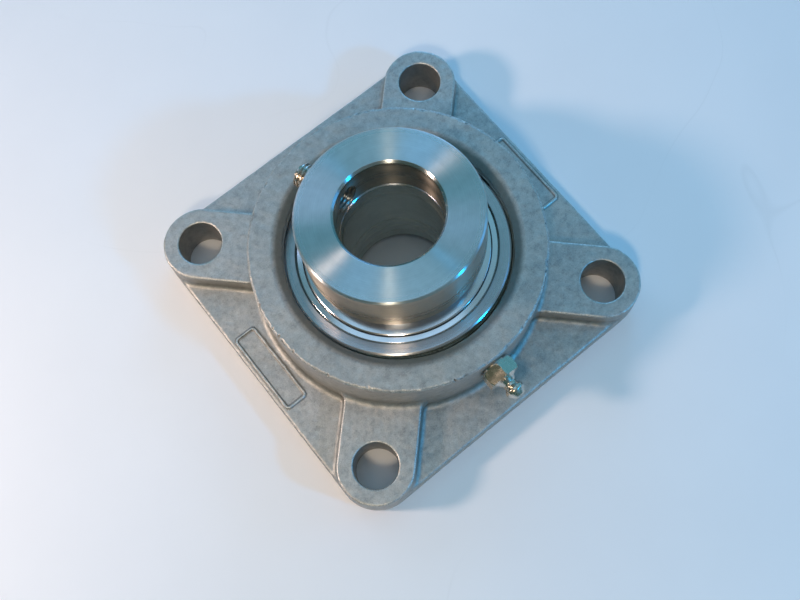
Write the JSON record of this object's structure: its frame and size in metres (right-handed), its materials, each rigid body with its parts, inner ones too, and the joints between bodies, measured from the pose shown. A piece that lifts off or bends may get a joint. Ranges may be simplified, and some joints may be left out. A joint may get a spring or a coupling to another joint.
{
  "type": "flange mount bearing",
  "caption": "Square flange-mount ball bearing: cast stainless housing with bolt lugs, self-aligning insert, eccentric locking collar and grease nipple.",
  "frame": {"origin": "centre of the flat mounting face, where the shaft axis of an aligned insert crosses it", "axes": "+Z out of the mounting face towards the locking collar; X and Y parallel to the sides of the square flange; the grease nipple points along -Y and the anti-rotation pin is on the +X side"},
  "size_m": [0.117, 0.117, 0.0556],
  "materials": {
    "cast_stainless": "blasted investment casting, matte, with bright worn edges",
    "ground_steel": "fine ground",
    "turned_steel": "face turned in concentric rings, polished edges",
    "pressed_steel": "bright pressed sheet",
    "cage_steel": "satin pressed sheet",
    "ball_steel": "mirror polished",
    "seal_rubber": "matte",
    "plated_steel": "bright plated",
    "screw_steel": "satin stainless thread"
  },
  "bodies": {
    "housing": {"flange_housing": "cast_stainless", "grease_nipple_body": "plated_steel", "nipple_spring": "pressed_steel"},
    "nipple_ball": {"nipple_check_ball": "ball_steel"},
    "locating_pin": {"anti_rotation_pin": "ground_steel"},
    "outer_ring": {"outer_ring": "ground_steel", "front_seal_case": "pressed_steel", "front_seal_lip": "seal_rubber", "rear_seal_case": "pressed_steel", "rear_seal_lip": "seal_rubber"},
    "cage": {"cage_front": "cage_steel", "cage_rear": "cage_steel", "cage_rivet_1": "cage_steel", "cage_rivet_2": "cage_steel", "cage_rivet_3": "cage_steel", "cage_rivet_4": "cage_steel", "cage_rivet_5": "cage_steel", "cage_rivet_6": "cage_steel", "cage_rivet_7": "cage_steel", "cage_rivet_8": "cage_steel", "cage_rivet_9": "cage_steel"},
    "ball_1": {"ball_1": "ball_steel"},
    "ball_2": {"ball_2": "ball_steel"},
    "ball_3": {"ball_3": "ball_steel"},
    "ball_4": {"ball_4": "ball_steel"},
    "ball_5": {"ball_5": "ball_steel"},
    "ball_6": {"ball_6": "ball_steel"},
    "ball_7": {"ball_7": "ball_steel"},
    "ball_8": {"ball_8": "ball_steel"},
    "ball_9": {"ball_9": "ball_steel"},
    "inner_ring": {"inner_ring": "ground_steel", "front_flinger": "pressed_steel", "rear_flinger": "pressed_steel"},
    "collar": {"locking_collar": "turned_steel"},
    "set_screw": {"collar_set_screw": "screw_steel"}
  },
  "joints": [
    {"name": "swivel_about_y", "type": "hinge", "parent": "housing", "child": "locating_pin", "pos_m": [0, 0, 0.021], "axis": [0, 1, 0], "range_deg": [-5.2, 5.2]},
    {"name": "swivel_about_pin", "type": "hinge", "parent": "locating_pin", "child": "outer_ring", "pos_m": [0, 0, 0.021], "axis": [1, 0, 0], "range_deg": [0, 10.4]},
    {"name": "shaft_spin", "type": "hinge", "parent": "outer_ring", "child": "inner_ring", "pos_m": [0, 0, 0.021], "axis": [0, 0.0906, 0.9959], "continuous": true},
    {"name": "cage_spin", "type": "hinge", "parent": "outer_ring", "child": "cage", "pos_m": [0, 0, 0.021], "axis": [0, 0.0906, 0.9959], "continuous": true},
    {"name": "ball_1_spin", "type": "hinge", "parent": "cage", "child": "ball_1", "pos_m": [0.02675, 0, 0.021], "axis": [0, 0.0906, 0.9959], "continuous": true},
    {"name": "ball_2_spin", "type": "hinge", "parent": "cage", "child": "ball_2", "pos_m": [0.02049, 0.01712, 0.01944], "axis": [0, 0.0906, 0.9959], "continuous": true},
    {"name": "ball_3_spin", "type": "hinge", "parent": "cage", "child": "ball_3", "pos_m": [0.00465, 0.02624, 0.01861], "axis": [0, 0.0906, 0.9959], "continuous": true},
    {"name": "ball_4_spin", "type": "hinge", "parent": "cage", "child": "ball_4", "pos_m": [-0.01337, 0.02307, 0.0189], "axis": [0, 0.0906, 0.9959], "continuous": true},
    {"name": "ball_5_spin", "type": "hinge", "parent": "cage", "child": "ball_5", "pos_m": [-0.02514, 0.00911, 0.02017], "axis": [0, 0.0906, 0.9959], "continuous": true},
    {"name": "ball_6_spin", "type": "hinge", "parent": "cage", "child": "ball_6", "pos_m": [-0.02514, -0.00911, 0.02183], "axis": [0, 0.0906, 0.9959], "continuous": true},
    {"name": "ball_7_spin", "type": "hinge", "parent": "cage", "child": "ball_7", "pos_m": [-0.01337, -0.02307, 0.0231], "axis": [0, 0.0906, 0.9959], "continuous": true},
    {"name": "ball_8_spin", "type": "hinge", "parent": "cage", "child": "ball_8", "pos_m": [0.00465, -0.02624, 0.02339], "axis": [0, 0.0906, 0.9959], "continuous": true},
    {"name": "ball_9_spin", "type": "hinge", "parent": "cage", "child": "ball_9", "pos_m": [0.02049, -0.01712, 0.02256], "axis": [0, 0.0906, 0.9959], "continuous": true},
    {"name": "collar_lock", "type": "hinge", "parent": "inner_ring", "child": "collar", "pos_m": [0, 0, 0.021], "axis": [0, 0.0906, 0.9959], "range_deg": [-20, 20]},
    {"name": "set_screw_travel", "type": "slide", "parent": "collar", "child": "set_screw", "axis": [-0.3256, 0.9416, -0.0857], "range_m": [-0.007, 0.002]},
    {"name": "nipple_ball_opening", "type": "slide", "parent": "housing", "child": "nipple_ball", "axis": [0, 1, 0], "range_m": [0, 0.0005]}
  ],
  "couplings": [
    {"joint": "cage_spin", "follows": "shaft_spin", "ratio": 0.39615},
    {"joint": "ball_1_spin", "follows": "shaft_spin", "ratio": -2.3035},
    {"joint": "ball_2_spin", "follows": "shaft_spin", "ratio": -2.3035},
    {"joint": "ball_3_spin", "follows": "shaft_spin", "ratio": -2.3035},
    {"joint": "ball_4_spin", "follows": "shaft_spin", "ratio": -2.3035},
    {"joint": "ball_5_spin", "follows": "shaft_spin", "ratio": -2.3035},
    {"joint": "ball_6_spin", "follows": "shaft_spin", "ratio": -2.3035},
    {"joint": "ball_7_spin", "follows": "shaft_spin", "ratio": -2.3035},
    {"joint": "ball_8_spin", "follows": "shaft_spin", "ratio": -2.3035},
    {"joint": "ball_9_spin", "follows": "shaft_spin", "ratio": -2.3035}
  ]
}
